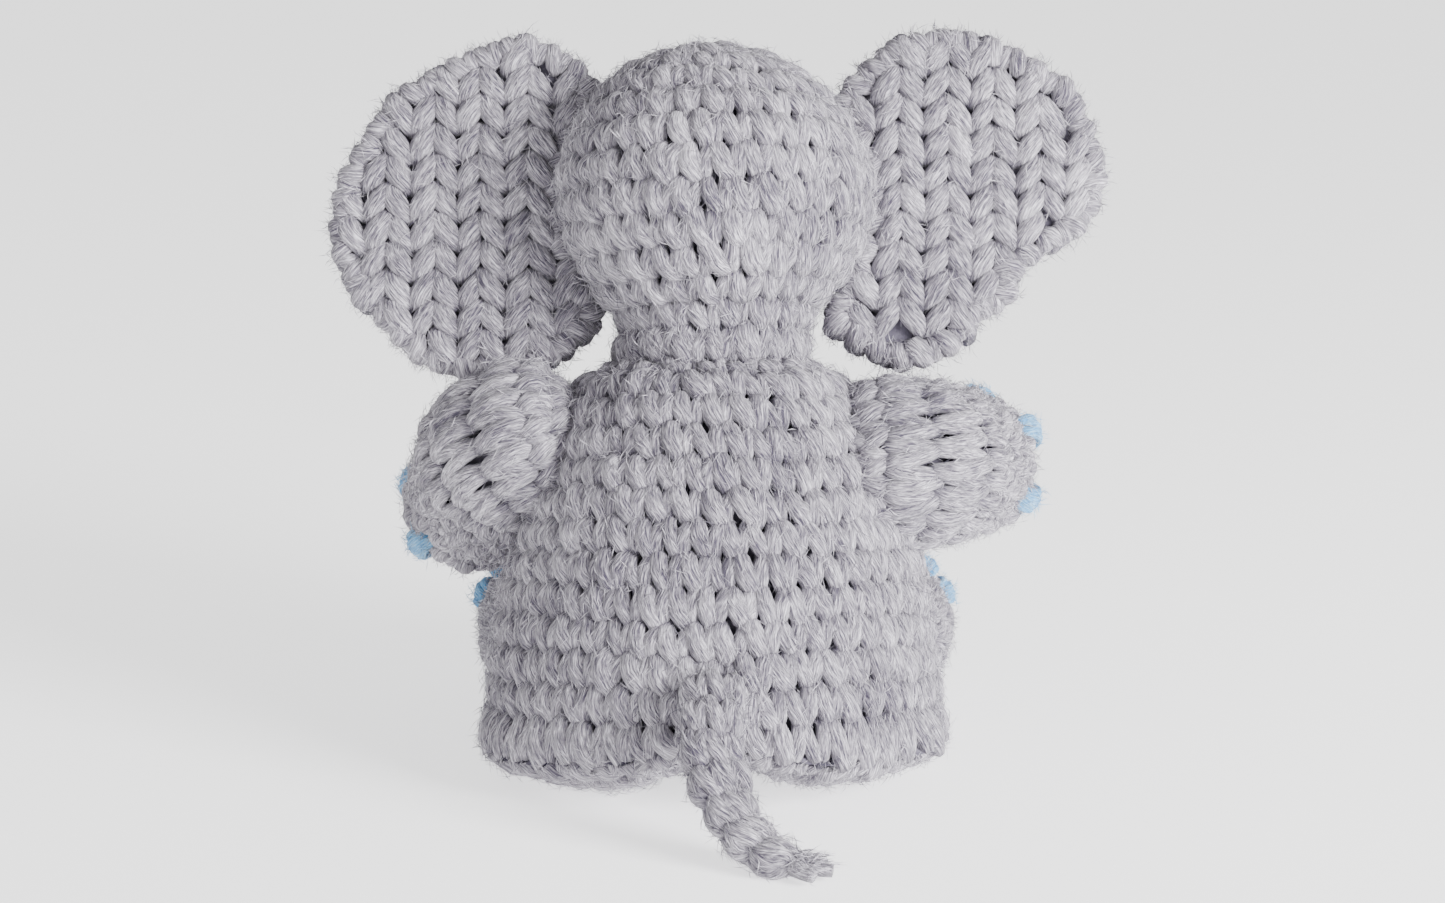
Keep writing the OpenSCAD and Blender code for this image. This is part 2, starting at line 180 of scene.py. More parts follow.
def tubeMesh(name, lines):
    # lines holds centres (k, r, 3), normals (k, r, 3), radii (k, r) and depth (k, r) of k strands
    c, n, radii = lines["centres"], lines["normals"], lines["radii"]
    sides = strandLook["sides"]
    count, rings = radii.shape
    along = unit(np.gradient(c, axis=1))
    across = unit(np.cross(along, n))
    out = np.cross(across, along)
    a = 2 * math.pi * np.arange(sides) / sides
    wide, thick = strandLook["wide"], strandLook["thick"]
    ring = (c[:, :, None] + radii[:, :, None, None] * (
        wide * np.cos(a)[:, None] * across[:, :, None] + thick * np.sin(a)[:, None] * out[:, :, None]))
    verts = ring.reshape(-1, 3)
    base = (np.arange(count) * rings * sides)[:, None, None]
    r = (np.arange(rings - 1) * sides)[None, :, None]
    k = np.arange(sides)[None, None, :]
    k2 = (k + 1) % sides
    quads = np.stack([base + r + k, base + r + k2, base + r + sides + k2, base + r + sides + k], axis=-1)
    quads = quads[..., ::-1].reshape(-1, 4)
    first = np.arange(sides)[None] + base[:, 0]
    caps = np.concatenate([first, (first + (rings - 1) * sides)[:, ::-1]])
    origin, width = cells(count)
    edge, span, rise = 0.04, 0.92, 0.80  # each tube fills its own cell of the map, with its caps at the top
    u = edge + span * np.arange(sides + 1) / sides
    v = edge + rise * np.arange(rings) / (rings - 1)
    cell = quadMap(u[:-1], u[1:], v)[:, :, ::-1]
    quadUv = origin[:, None, None, None] + width * cell[None]
    dot = edge * np.stack([np.cos(a), np.sin(a)], axis=-1)
    capUv = np.concatenate([origin[:, None] + width * (np.array([0.25, 0.93]) + dot)[None],
                            origin[:, None] + width * (np.array([0.75, 0.93]) + dot)[None]])
    step = np.linalg.norm(np.diff(c, axis=1), axis=-1)
    length = np.concatenate([np.zeros((count, 1)), np.cumsum(step, axis=1)], axis=1)
    seed = rng.uniform(0, 100, size=(count, 1, 1)) * np.ones((1, rings, sides))
    strand = np.stack([length[:, :, None] * np.ones((1, 1, sides)),
                       radii[:, :, None] * a[None, None] * np.ones((1, rings, 1)), seed], axis=-1)
    # the inner half of each tube counts as deeper than its outer half, so the painted shade darkens the side
    # facing the surface
    shadeDepth = lines["depth"][:, :, None] + radii[:, :, None] * (1 - np.sin(a))[None, None] * 0.5
    return makeMesh(name, verts, [quads, caps], [quadUv.reshape(-1, 2), capUv.reshape(-1, 2)],
                    {"strand": strand.reshape(-1, 3), "shadeDepth": shadeDepth.reshape(-1)})


def fuzzMesh(name, lines, perLine, look):
    # fine fibres that leave each strand nearly along it, each a closed spindle bent once
    c, n, radii = lines["centres"], lines["normals"], lines["radii"]
    count, rings = radii.shape
    total = count * perLine
    line = np.repeat(np.arange(count), perLine)
    spot = rng.uniform(0.5, rings - 1.5, size=total)
    low = np.floor(spot).astype(int)
    part = (spot - low)[:, None]
    along = unit(np.gradient(c, axis=1))

    def pick(values):
        return values[line, low] * (1 - part) + values[line, low + 1] * part

    mid, tangent, normal = pick(c), unit(pick(along)), unit(pick(n))
    radius = pick(radii[:, :, None])
    across = unit(np.cross(tangent, normal))
    out = np.cross(across, tangent)
    a = np.radians(rng.normal(90, look["spread"], size=total))[:, None]
    face = np.cos(a) * across + np.sin(a) * out
    root = mid + face * radius * 0.93
    side = np.cross(tangent, face)
    sweep = np.radians(rng.normal(0, look["sweep"], size=total))[:, None]
    flip = rng.choice([-1, 1], size=total)[:, None]
    heading = flip * (np.cos(sweep) * tangent + np.sin(sweep) * side)
    length = rng.uniform(*look["length"], size=total)[:, None]
    lift = np.tan(np.radians(np.abs(rng.normal(look["lift"], look["lift"] * 0.6, size=total))))[:, None]
    tip = root + heading * length + face * length * lift * 0.7
    sway = side * length * rng.normal(0, 0.06, size=total)[:, None]
    belly = root + heading * length * 0.5 + face * length * lift * 0.55 + sway
    foot = root - heading * length * 0.08 - face * 0.12
    thin = rng.uniform(*look["radius"], size=total)[:, None]
    ringA = unit(np.cross(heading, face))
    ringB = unit(np.cross(heading, ringA))
    spokes = [belly + thin * (math.cos(t) * ringA + math.sin(t) * ringB)
              for t in (0, 2 * math.pi / 3, 4 * math.pi / 3)]
    verts = np.stack([foot, *spokes, tip], axis=1).reshape(-1, 3)
    base = (np.arange(total) * 5)[:, None, None]
    pattern = np.array([[0, 2, 1], [0, 3, 2], [0, 1, 3], [4, 1, 2], [4, 2, 3], [4, 3, 1]])
    tris = (base + pattern[None]).reshape(-1, 3)
    origin, width = cells(total)
    flatUv = np.array([[0.5, 0.02], [0.1, 0.5], [0.5, 0.55], [0.9, 0.5], [0.5, 0.98]])
    cell = flatUv[pattern].copy()
    cell[2] = [[0.5, 0.02], [0.1, 0.5], [0.02, 0.45]]
    cell[5] = [[0.5, 0.98], [0.02, 0.55], [0.1, 0.5]]
    triUv = origin[:, None, None] + width * cell[None]
    # painted shade: fibres that start low between the stitches are darker
    shadeDepth = pick(lines["depth"][:, :, None]) + radius * (1 - np.sin(a)) * 0.5
    light = np.clip(look["light"] - look["shade"] * shadeDepth[:, 0], 0.05, 1)
    tone = np.repeat(rng.uniform(0, 1, size=total) * light, 5)
    return makeMesh(name, verts, [tris], [triUv.reshape(-1, 2)], {"tone": tone})


def gridMesh(name, surface, columns, rows, lift):
    # a closed skin over surface(u, v), u round and v in 0..1, moved along its normal by lift
    u = np.arange(columns) / columns
    v = np.linspace(0, 1, rows)
    uu, vv = np.meshgrid(u, v)
    p, n = surface(uu, vv)
    verts = (p + n * lift).reshape(-1, 3)
    k = np.arange(columns)
    k2 = (k + 1) % columns
    r = (np.arange(rows - 1) * columns)[:, None]
    quads = np.stack([r + k, r + k2, r + columns + k2, r + columns + k], axis=-1).reshape(-1, 4)
    caps = np.stack([k[::-1], k + (rows - 1) * columns])
    edge, span, rise = 0.02, 0.96, 0.86
    across = edge + span * np.arange(columns + 1) / columns
    uvQ = quadMap(across[:-1], across[1:], edge + rise * v)
    a = 2 * math.pi * k / columns
    dot = 0.045 * np.stack([np.cos(a), np.sin(a)], axis=-1)
    uvC = np.stack([(np.array([0.25, 0.94]) + dot)[::-1], np.array([0.75, 0.94]) + dot])
    return makeMesh(name, verts, [quads, caps], [uvQ.reshape(-1, 2), uvC.reshape(-1, 2)])


# each stitch shows two plump legs: across and up as shares of the stitch, and height in mm
legShapes = [
    np.array([[-0.36, 0.64, -0.8], [-0.36, 0.38, 0.85], [-0.22, 0.0, 1.4], [-0.01, -0.36, 0.95],
              [0.12, -0.66, -0.8]]),
    np.array([[0.38, 0.60, -0.8], [0.38, 0.32, 0.75], [0.29, 0.0, 1.15], [0.24, -0.32, 0.65],
              [0.18, -0.62, -0.9]]),
]
legRadius = [1.78, 1.55]
# how much one stitch differs from the next, as shares of the stitch, and in mm for its lift
stitchLook = dict(across=0.05, up=0.04, lift=0.2, lean=0.09, own=0.045, tall=0.04, fat=0.09, uneven=0.03,
                  deepest=1.5)


def curveWeights(points, samples):
    # Catmull-Rom weights of the control points at evenly spaced samples
    t = np.linspace(0, points - 1, samples)
    out = np.zeros((samples, points))
    for i, x in enumerate(t):
        k = min(int(x), points - 2)
        f = x - k
        w = (-0.5 * f + f * f - 0.5 * f ** 3, 1 - 2.5 * f * f + 1.5 * f ** 3,
             0.5 * f + 2 * f * f - 1.5 * f ** 3, -0.5 * f * f + 0.5 * f ** 3)
        for j, weight in zip((k - 1, k, k + 1, k + 2), w):
            out[i, min(max(j, 0), points - 1)] += weight
    return out


legWeights = curveWeights(5, 9)
legTaper = np.array([0.72, 0.86, 0.97, 1.04, 1.07, 1.04, 0.96, 0.85, 0.72])


def stitchLines(surface, u, v, du, dv, mirror=False, thick=1.0):
    # surface(u, v) gives points and normals; one stitch at each u, v, sized du by dv
    u, v, du, dv = (np.asarray(x, float).reshape(-1, 1) for x in np.broadcast_arrays(u, v, du, dv))
    count = len(u)

    def vary(key):
        return rng.normal(0, stitchLook[key], size=(count, 1))

    shakeW, shakeH, lift, lean = vary("across"), vary("up"), vary("lift"), vary("lean")
    found = []
    for shape, radius in zip(legShapes, legRadius):
        w, h, d = (legWeights @ shape).T
        w = (w[None] + shakeW + vary("own") + lean * h[None]) * (-1 if mirror else 1)
        h = h[None] * (1 + vary("tall")) + shakeH
        d = d[None] + lift
        p, n = surface(u + w * du, v + h * dv)
        fat = radius * thick * legTaper[None] * (1 + vary("fat"))
        fat = fat * (1 + rng.normal(0, stitchLook["uneven"], size=fat.shape))
        # how far below the stitches' top each point lies, which later darkens it with painted shade
        deep = stitchLook["deepest"] - d
        found.append(dict(centres=p + n * d[..., None], normals=n, radii=fat, depth=deep))
    return joined(found)


def joined(sets):
    return {key: np.concatenate([s[key] for s in sets]) for key in ("centres", "normals", "radii", "depth")}


def surfaceOf(point, span=1e-3):
    # adds the normal to a function of u and v that gives points
    def surface(u, v):
        p = point(u, v)
        pu = point(u + span, v) - point(u - span, v)
        pv = point(u, v + span) - point(u, v - span)
        return p, unit(np.cross(pu, pv))
    return surface


def sweep(profile, place, start=0.0, warp=None, path=None, oval=(1, 1)):
    # a tube of changing radius: u is turns, v is arc length in 0..1, and profile holds (radius, distance)
    # path holds distance, centre, heading and one side direction along the way; without it the way is +Z
    step = np.linalg.norm(np.diff(profile, axis=0), axis=1)
    arc = np.concatenate([[0], np.cumsum(step)])
    share = arc / arc[-1]

    def radius(v):
        return np.interp(v, share, profile[:, 0])

    def point(u, v):
        v = v + 0 * u
        r, s = radius(v), np.interp(v, share, profile[:, 1])
        s = s + np.where(v > 1, v - 1, 0) * arc[-1]
        a = 2 * math.pi * u + start
        x, y = r * np.cos(a) * oval[0], r * np.sin(a) * oval[1]
        if path is None:
            p = np.stack([x, y, s], axis=-1)
        else:
            at, centre, heading, sideway = path
            c, h, e = (np.stack([np.interp(s, at, part[:, k]) for k in range(3)], axis=-1)
                       for part in (centre, heading, sideway))
            p = c + x[..., None] * e + y[..., None] * np.cross(h, e)
        if warp is not None:
            p = warp(p)
        return placed(p, place)
    return point, arc[-1], radius


def rounds(point, length, radiusAt, pitch=5.2, rowH=6.0, drift=0.36, first=0.0, last=1.0, least=6, seat=0.0,
           thick=1.0):
    # stitches in rounds up the surface; the count changes with the radius
    surface = surfaceOf(point)
    rows = max(1, round((last - first) * length / rowH))
    us, vs, dus, dvs = [], [], [], []
    for i in range(rows):
        v = first + (i + 0.5) * (last - first) / rows
        count = max(least, round(2 * math.pi * radiusAt(v) / pitch))
        phase = seat + drift * i
        j = np.arange(count)
        us.append((j + phase) / count)
        vs.append(np.full(count, v))
        dus.append(np.full(count, 1 / count))
        dvs.append(np.full(count, (last - first) / rows))
    return stitchLines(surface, *(np.concatenate(x) for x in (us, vs, dus, dvs)), thick=thick)


class Wire:
    # a shader socket with arithmetic
    def __init__(self, shade, socket):
        self.shade, self.socket = shade, socket

    def math(self, operation, *others):
        return self.shade.make("ShaderNodeMath", {"operation": operation}, [self, *others])

    def __add__(self, other):
        return self.math("ADD", other)

    def __sub__(self, other):
        return self.math("SUBTRACT", other)

    def __mul__(self, other):
        return self.math("MULTIPLY", other)

    def __rsub__(self, other):
        return self.shade.make("ShaderNodeMath", {"operation": "SUBTRACT"}, [other, self])

    __radd__ = __add__
    __rmul__ = __mul__

    def ramp(self, low, high):
        return self.shade.make("ShaderNodeMapRange", {"interpolation_type": "SMOOTHSTEP"},
                               {"Value": self, "From Min": low, "From Max": high})


class Shade:
    def __init__(self, name, **constants):
        self.material = bpy.data.materials.new(name)
        self.material.use_nodes = True
        self.tree = self.material.node_tree
        self.tree.nodes.clear()
        self.body = self.tree.nodes.new("ShaderNodeBsdfPrincipled")
        end = self.tree.nodes.new("ShaderNodeOutputMaterial")
        self.tree.links.new(self.body.outputs[0], end.inputs["Surface"])
        for key, value in constants.items():
            self.set(key.replace("_", " "), value)

    def feed(self, socket, value):
        if isinstance(value, Wire):
            self.tree.links.new(value.socket, socket)
        else:
            socket.default_value = value

    def set(self, key, value):
        self.feed(self.body.inputs[key], value)

    def make(self, kind, settings=None, inputs=None, out=0):
        node = self.tree.nodes.new(kind)
        for key, value in (settings or {}).items():
            setattr(node, key, value)
        pairs = inputs.items() if isinstance(inputs, dict) else enumerate(inputs or [])
        for key, value in pairs:
            self.feed(node.inputs[key], value)
        return Wire(self, node.outputs[out])

    def blend(self, factor, a, b):
        # a and b are colours, or wires that carry one; a Mix node's colour sockets are numbered 6 and 7
        a, b = (x if isinstance(x, Wire) else (*x, 1) for x in (a, b))
        return self.make("ShaderNodeMix", {"data_type": "RGBA"}, {0: factor, 6: a, 7: b}, 2)

    def noise(self, vector, scale, detail=2.0, rough=0.5):
        return self.make("ShaderNodeTexNoise", {}, {"Vector": vector, "Scale": scale, "Detail": detail,
                                                    "Roughness": rough})

    def stretch(self, vector, by):
        return self.make("ShaderNodeVectorMath", {"operation": "MULTIPLY"}, [vector, by])

    def read(self, name, out="Vector"):
        return self.make("ShaderNodeAttribute", {"attribute_name": name}, out=out)

    def bump(self, height, strength, distance):
        self.set("Normal", self.make("ShaderNodeBump", {}, {"Height": height, "Strength": strength,
                                                            "Distance": distance}))


yarnLook = dict(streak=(0.42, 3.4, 3.1), fine=(0.9, 9.0, 5.3), slow=70.0, each=(0.0, 0.0, 9.7),
                share=(1.9, 1.3, 0.5, 0.4), lowToMid=(0.12, 0.56), midToHigh=(0.48, 0.95), gap=(0.5, 2.5),
                bump=0.9, bumpHeight=0.0009)


def yarn(name, tones):
    # streaks of fibre along the strand, slow changes from place to place, and painted shade that darkens the
    # gaps and each strand's inner side
    deep, low, mid, high = tones
    s = Shade(name, Roughness=0.88, Sheen_Weight=0.35, Sheen_Roughness=0.45, Specular_IOR_Level=0.15)
    strand = s.read("strand")
    streak = s.noise(s.stretch(strand, yarnLook["streak"]), 1.0, 3.0, 0.6)
    fine = s.noise(s.stretch(strand, yarnLook["fine"]), 1.0, 2.0, 0.5)
    place = s.make("ShaderNodeTexCoord", out="Object")
    slow = s.noise(place, yarnLook["slow"], 2.0)
    each = s.noise(s.stretch(strand, yarnLook["each"]), 1.0, 0.0)
    a, b, c, d = yarnLook["share"]
    light = (streak - 0.5) * a + (fine - 0.5) * b + (slow - 0.5) * c + (each - 0.5) * d + 0.5
    tone = s.blend(light.ramp(*yarnLook["lowToMid"]), low, mid)
    tone = s.blend(light.ramp(*yarnLook["midToHigh"]), tone, high)
    # painted shade: the deeper a point lies, the nearer its colour goes to the dark gap tone
    shadeDepth = s.read("shadeDepth", "Fac")
    s.set("Base Color", s.blend(shadeDepth.ramp(*yarnLook["gap"]), tone, deep))
    s.bump(streak * 0.6 + fine * 0.4, yarnLook["bump"], yarnLook["bumpHeight"])
    return s.material


def fuzz(name, low, high):
    s = Shade(name, Roughness=0.8, Sheen_Weight=0.3, Specular_IOR_Level=0.2)
    # tone carries each fibre's random tone and its painted shade
    s.set("Base Color", s.blend(s.read("tone", "Fac"), low, high))
    return s.material


def inner(name, low, high):
    # a dark sheet seen in the gaps between stitches, painted shade for the yarn and filling behind them
    s = Shade(name, Roughness=0.95)
    place = s.make("ShaderNodeTexCoord", out="Object")
    s.set("Base Color", s.blend(s.noise(place, 900.0, 3.0), low, high))
    s.bump(s.noise(place, 1500.0, 2.0), 0.6, 0.0004)
    return s.material


print("materials")
# painted shade for the gaps, then from the darkest fibre to the lightest
greyTones = ((0.030, 0.022, 0.055), (0.075, 0.064, 0.098), (0.325, 0.300, 0.350), (0.83, 0.79, 0.87))
blueTones = ((0.03, 0.08, 0.18), (0.07, 0.24, 0.50), (0.17, 0.46, 0.80), (0.45, 0.74, 0.97))
greyYarn = yarn("greyYarn", greyTones)
blueYarn = yarn("blueYarn", blueTones)
greyFuzz = fuzz("greyFuzz", (0.065, 0.055, 0.09), (0.86, 0.82, 0.90))
blueFuzz = fuzz("blueFuzz", (0.12, 0.36, 0.68), (0.50, 0.78, 0.97))
# the sheet under the stitches is painted dark as shade
shadedInnerFabric = inner("shadedInnerFabric", (0.075, 0.065, 0.10), (0.20, 0.185, 0.235))


def filling():
    s = Shade("filling", Roughness=0.95, Sheen_Weight=0.4)
    place = s.make("ShaderNodeTexCoord", out="Object")
    strands = s.noise(s.stretch(place, (1.0, 1.0, 3.0)), 420.0, 4.0, 0.7)
    s.set("Base Color", s.blend(strands.ramp(0.3, 0.7), (0.72, 0.72, 0.70), (0.92, 0.92, 0.90)))
    s.bump(strands, 0.7, 0.001)
    return s.material


def plastic(name, low, high, rough, coat):
    # moulded plastic with faint scuffs
    s = Shade(name, Coat_Weight=coat, Coat_Roughness=0.05)
    place = s.make("ShaderNodeTexCoord", out="Object")
    cloud = s.noise(place, 260.0, 3.0)
    scuff = s.noise(s.stretch(place, (1.0, 4.0, 1.0)), 900.0, 2.0)
    s.set("Base Color", s.blend(cloud, low, high))
    s.set("Roughness", scuff.ramp(0.45, 0.8) * 0.15 + rough)
    s.bump(cloud, 0.05, 0.0002)
    return s.material


fillingMaterial = filling()
eyeMaterial = plastic("eyePlastic", (0.004, 0.004, 0.005), (0.012, 0.011, 0.012), 0.12, 0.6)
washerMaterial = plastic("washerPlastic", (0.70, 0.69, 0.66), (0.82, 0.81, 0.78), 0.42, 0.0)


# spread round the strand, sweep and lift off it in degrees, sizes in mm, and how fast deeper fibres darken
# with painted shade
fuzzLook = dict(spread=42, sweep=26, lift=11, length=(1.8, 4.2), radius=(0.045, 0.085), light=1.15,
                shade=0.42)


def dress(obj, material):
    obj.data.materials.append(material)
    return obj


def follow(obj, body, bend=None):
    # bend: (other body, start, end) in millimetres, where the piece crosses that body's seam; not used,
    # except that a piece given one is fixed in place instead of following body
    if bend is None:
        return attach(obj, body)
    other, start, end = bend
    start, end = (tuple(x * 0.001 for x in point) for point in (start, end))
    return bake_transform(obj)


def crochet(name, lines, body, bend=None, perLine=18, materials=None):
    # the strands and the fibres over them, perLine on each strand
    strandMaterial, fibreMaterial = materials or (greyYarn, greyFuzz)
    stitches = dress(tubeMesh(name + "_stitches", lines), strandMaterial)
    hairs = dress(fuzzMesh(name + "_fibres", lines, perLine, fuzzLook), fibreMaterial)
    for obj in (stitches, hairs):
        follow(obj, body, bend)
    return stitches, hairs


def skin(name, point, body, bend, nodesHere, columns=64, rows=48, lift=-1.5):
    # a dark sheet under the stitches, painted shade in the gaps between them
    obj = dress(gridMesh(name, surfaceOf(point), columns, rows, lift), shadedInnerFabric)
    follow(obj, body, bend)
    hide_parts(*nodesHere)
    return obj


padLook = dict(slack=0.6, lump=0.5, lumpRate=3.0, fill=0.8)


def pad(name, point, body, nodesHere, inset, columns=40, rows=30):
    # the filling inside a cover, lumpy
    surface = surfaceOf(point)

    def lumpy(u, v):
        p, n = surface(u, v)
        lump = wobble(p, padLook["lump"], padLook["lumpRate"])[..., :1]
        return p - n * (inset + padLook["slack"]) + n * lump, n
    obj = dress(gridMesh(name, lumpy, columns, rows, 0.0), fillingMaterial)
    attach(obj, body)
    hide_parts(*nodesHere)
    return obj


def along(place, z):
    return tuple(place @ Vector((0, 0, z)))


cover = 2.4  # from the outside of the stitches to the surface they are worked on


# torso: underside, fold, side and neck
# the neck's height over the shoulders, then the height, place round the fold and width of each sag and corner
torsoLook = dict(neckShown=3.0, corner=0.08, cornerAt=1.15, cornerWide=0.35, lobe=5.0, lobeAt=0.80,
                 lobeWide=0.52, rise=4.0, riseWide=0.30, wobble=0.55, fibres=22, floorGap=1.3, floorSoft=2.0)


def torsoProfile():
    half = size["baseW"] / 2
    points = [(1.5, 0.0)]
    for t in np.radians(np.linspace(6, 90, 30)):
        points.append((half * math.sin(t), size["foldH"] * (1 - math.cos(t))))
    # the shoulders' shelf sits a little under the neck's pivot, so that the neck shows as a short column
    shelf = (size["torsoH"] - size["foldH"] - torsoLook["neckShown"]) / (size["torsoH"] - size["foldH"])
    for h in size["foldH"] + (size["torsoH"] - size["foldH"]) * np.linspace(0, 1, 160)[1:] ** 0.8:
        points.append((max(neckR, sideR(size["foldH"] + (h - size["foldH"]) / shelf)), h))
    points = np.array(points)
    ahead = unit(np.gradient(points, axis=0))
    inward = points + np.stack([-ahead[:, 1], ahead[:, 0]], axis=1) * cover
    keep = inward[:, 0] > neckR - cover
    inward = inward[keep & (np.arange(len(inward)) > 1)]
    start = np.array([[0.6, inward[0, 1]]])
    top = np.array([[neckR - cover, size["torsoH"] + 0.5], [neckR - cover - 0.5, size["torsoH"] + 5]])
    return np.vstack([start, inward, top])


def torsoWarp(p):
    p = p + wobble(p, torsoLook["wobble"])
    x, y, z = p[..., 0], p[..., 1], p[..., 2]
    r = np.hypot(x, y)
    # two pointed corners of the fold, to the back and the sides
    around = np.arctan2(np.abs(x), y)
    corner = np.exp(-((around - torsoLook["cornerAt"]) / torsoLook["cornerWide"]) ** 2)
    low = np.exp(-((z - size["foldH"] + 1) / 4.5) ** 2) * smoothstep((r - 25) / 15)
    grow = 1 + torsoLook["corner"] * corner * low
    # the fold rises towards the tail, and the underside sags in two lobes beside it
    under = smoothstep((r - 14) / 16) * smoothstep((size["foldH"] + 7 - z) / 12)
    lobe = np.exp(-((around - torsoLook["lobeAt"]) / torsoLook["lobeWide"]) ** 2)
    middle = np.exp(-(around / torsoLook["riseWide"]) ** 2)
    z = z + under * (torsoLook["rise"] * middle - torsoLook["lobe"] * lobe)
    return np.stack([x * grow, y, z], axis=-1)


def onFloor(p):
    # presses whatever would go under the surface onto it
    z = p[..., 2]
    least, give = torsoLook["floorGap"], torsoLook["floorSoft"]
    soft = least + give * np.log1p(np.exp((z - least) / give))
    flat = np.where(z < least + 6, soft, z)
    return np.concatenate([p[..., :2], np.maximum(flat, least)[..., None]], axis=-1)


torsoRaw, torsoLength, torsoRadius = sweep(torsoProfile(), torsoPlace, start=math.pi / 2, warp=torsoWarp)


def torsoPoint(u, v):
    return onFloor(torsoRaw(u, v))


neckBend = ("torso", along(torsoPlace, 68), along(torsoPlace, 83))
print("torso")
torsoLines = rounds(torsoPoint, torsoLength, torsoRadius, last=0.985)
# the torso's stitches are passed the head and the neck's seam, and are fixed in place where they are
crochet("torso", torsoLines, "head", neckBend, torsoLook["fibres"])
skin("torso_cover_knit", torsoPoint, "head", neckBend, ["torso_cover"], 80, 80)
pad("torso_filling", torsoPoint, "torso", ["torso_stuffing"], 2.0)


# head: from the neck to the crown, which is a little flat
headLook = dict(crown=0.93, wobble=0.5, fibres=24)


def headProfile():
    r = headR - cover
    neck = neckR - cover
    points = [(neck - 0.3, -5.0), (neck, -1.0), (neck + 0.2, 2.5)]
    first = math.asin((neck + 1.2) / r)
    for a in np.linspace(first, math.pi - 0.03, 90):
        flat = 1 if a < math.pi / 2 else headLook["crown"]
        points.append((r * math.sin(a), headR - r * math.cos(a) * flat))
    return np.array(points)


def headWarp(p):
    return p + wobble(p, headLook["wobble"])


print("head")
headPoint, headLength, headRadius = sweep(headProfile(), headPlace, start=math.pi / 2, warp=headWarp)
headLines = rounds(headPoint, headLength, headRadius, first=0.03, last=0.995, seat=0.2)
crochet("head", headLines, "head", neckBend, headLook["fibres"])
skin("head_cover_knit", headPoint, "head", neckBend, ["head_cover"])
pad("head_filling", headPoint, "head", ["head_stuffing"], 2.0)


# arms, legs and trunk: from the closed end to the root
def wayBack(length, bendR, bendTo, inner, rootL):
    # the way from the closed end back to the root, where the limb bends to its seam about a point at inner
    at, centre, heading = [], [], []
    cross = np.array([1.0, 0, 0])
    toward = np.array([0, inner, 0.0])
    for z in np.linspace(length, 0, 12):
        at.append(length - z)
        centre.append((0, 0, z))
        heading.append((0, 0, -1))
    for t in np.linspace(0, math.radians(bendTo), 14)[1:]:
        at.append(length + bendR * t)
        centre.append(toward * bendR * (1 - math.cos(t)) + np.array([0, 0, -bendR * math.sin(t)]))
        heading.append(toward * math.sin(t) + np.array([0, 0, -math.cos(t)]))
    at.append(at[-1] + rootL)
    centre.append(np.array(centre[-1]) + rootL * np.array(heading[-1]))
    heading.append(heading[-1])
    sideway = np.array([cross] * len(at))
    return np.array(at), np.array(centre, float), np.array(heading, float), sideway


def limbProfile(ballR, endR, length, rim, rootAt, rootL):
    # a round-edged end, a tapered tube and a domed root
    points = [(0.5, cover)]
    for t in np.radians(np.linspace(0, 90, 14)):
        points.append((endR - rim + (rim - cover) * math.sin(t), rim - (rim - cover) * math.cos(t)))
    for z in np.linspace(rim, length, 20)[1:]:
        share = (z - rim) / (length - rim)
        points.append((endR + (ballR - endR) * share ** 1.3 - cover, z))
    if rootAt - rootL > length + 0.1:
        points.append((ballR - cover, rootAt - rootL))
    for t in np.radians(np.linspace(0, 88, 14))[1:]:
        points.append(((ballR - cover) * math.cos(t), rootAt - rootL * (1 - math.sin(t))))
    return np.array(points)


def limbWarp(p):
    return p + wobble(p, 0.35, 1.4)


def torsoDepth(p):
    # how far inside the torso's own surface a point is, in mm
    q = placed(p, torsoPlace.inverted())
    reach = np.array([sideR(h) for h in np.clip(q[..., 2], size["foldH"], size["torsoH"]).reshape(-1)])
    return reach.reshape(q.shape[:-1]) - cover - np.hypot(q[..., 0], q[..., 1])


seamLook = dict(limb=20, trunk=15, into=3.2, back=3.0, skew=0.35, over=2.7, radius=1.15, deepest=0.9)


def seamStitches(surface, depthAt, count, reach):
    # whip stitches over the line where a piece meets what it is sewn to
    v = np.linspace(0.15, 1, 120)
    u = (np.arange(count) + rng.uniform(-0.2, 0.2, count)) / count
    uu, vv = np.meshgrid(u, v)
    inside = depthAt(surface(uu, vv)[0]) > -0.6
    found = inside.argmax(axis=0)
    met = inside.any(axis=0) & (found > 0)
    u, vSeam = u[met], v[found[met]]
    back, into = seamLook["back"] / reach, seamLook["into"]
    skew = seamLook["skew"] / count * rng.uniform(0.4, 1.3, len(u))
    (first, firstN), (over, overN), (p, n) = (surface(u + skew * k, vSeam - back * t)
                                              for k, t in ((-1, 1.25), (-0.5, 0.75), (0, 0.15)))
    foot = p + n * 2.4
    down = unit(surface(u, vSeam + 0.02)[0] - p)
    away = unit(n + down * 0.25)
    points = np.stack([first + firstN * 0.2, over + overN * 2.2, p + n * seamLook["over"],
                       foot + away * into * 0.55 + down * 0.8, foot + away * into + down * 2.2], axis=1)
    normals = np.stack([firstN, overN, *(unit(n - down * k) for k in (0.4, 1.2, 1.6))], axis=1)
    c = np.einsum("sp,kpx->ksx", legWeights, points)
    nn = unit(np.einsum("sp,kpx->ksx", legWeights, normals))
    fat = seamLook["radius"] * legTaper[None] * rng.normal(1, 0.06, (len(u), 1))
    # the seam's stitches all count as a little deep, so they take some painted shade
    return dict(centres=c, normals=nn, radii=fat, depth=np.full(fat.shape, seamLook["deepest"]))


toeLook = dict(wraps=4, gap=1.25, turns=(-22, 112), arch=0.18, pinch=0.18, slant=0.4, radius=0.98, fibres=34,
               rise=(-1.6, 0.1, 0.9, 1.25, 1.4, 1.25, 0.9, 0.1, -1.6))


